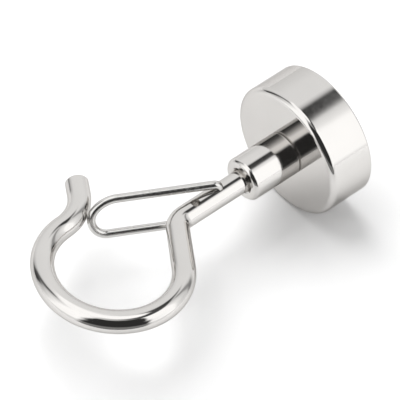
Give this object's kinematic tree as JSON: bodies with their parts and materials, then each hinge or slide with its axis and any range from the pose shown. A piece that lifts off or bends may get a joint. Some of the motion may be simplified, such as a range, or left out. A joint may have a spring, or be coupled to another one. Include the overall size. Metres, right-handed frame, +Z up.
{
  "type": "magnetic hook",
  "caption": "Swivelling snap hook on a round magnet cup: a bent wire loop, closed by a sprung wire gate, turns in a socket on the cup's back.",
  "frame": {"origin": "centre of the magnet's flat face", "axes": "+Y out of the magnet's face into the wall that it holds on, so the hook stands out along -Y; +Z up; the hook's plane is XY and its mouth opens towards -X"},
  "size_m": [0.0272, 0.0495, 0.02],
  "materials": {
    "cup_nickel": "bright nickel plate over steel, polished",
    "magnet_nickel": "bright nickel plate over a pressed and sintered magnet, a little less even than the cup's",
    "ring_resin": "matt cast resin",
    "stud_steel": "plain turned steel",
    "socket_nickel": "bright nickel plate over steel, polished",
    "hook_nickel": "bright nickel plate over steel wire, polished",
    "gate_wire": "polished spring wire"
  },
  "bodies": {
    "base": {"magnet_cup": "cup_nickel", "magnet_disc": "magnet_nickel", "filler_ring": "ring_resin", "fixing_stud": "stud_steel", "swivel_socket": "socket_nickel"},
    "hook": {"swivel_hook": "hook_nickel"},
    "gate": {"spring_gate": "gate_wire"}
  },
  "joints": [
    {"name": "hook_swivel", "type": "hinge", "parent": "base", "child": "hook", "pos_m": [0, -0.0115, 0], "axis": [0, 1, 0], "continuous": true},
    {"name": "gate_hinge", "type": "hinge", "parent": "hook", "child": "gate", "pos_m": [0, -0.0215, 0], "axis": [0, 0, 1], "range_deg": [0, 32], "stiffness_Nm_per_rad": 0.17, "springref_deg": -6.88, "deforming": ["spring_gate"]}
  ]
}
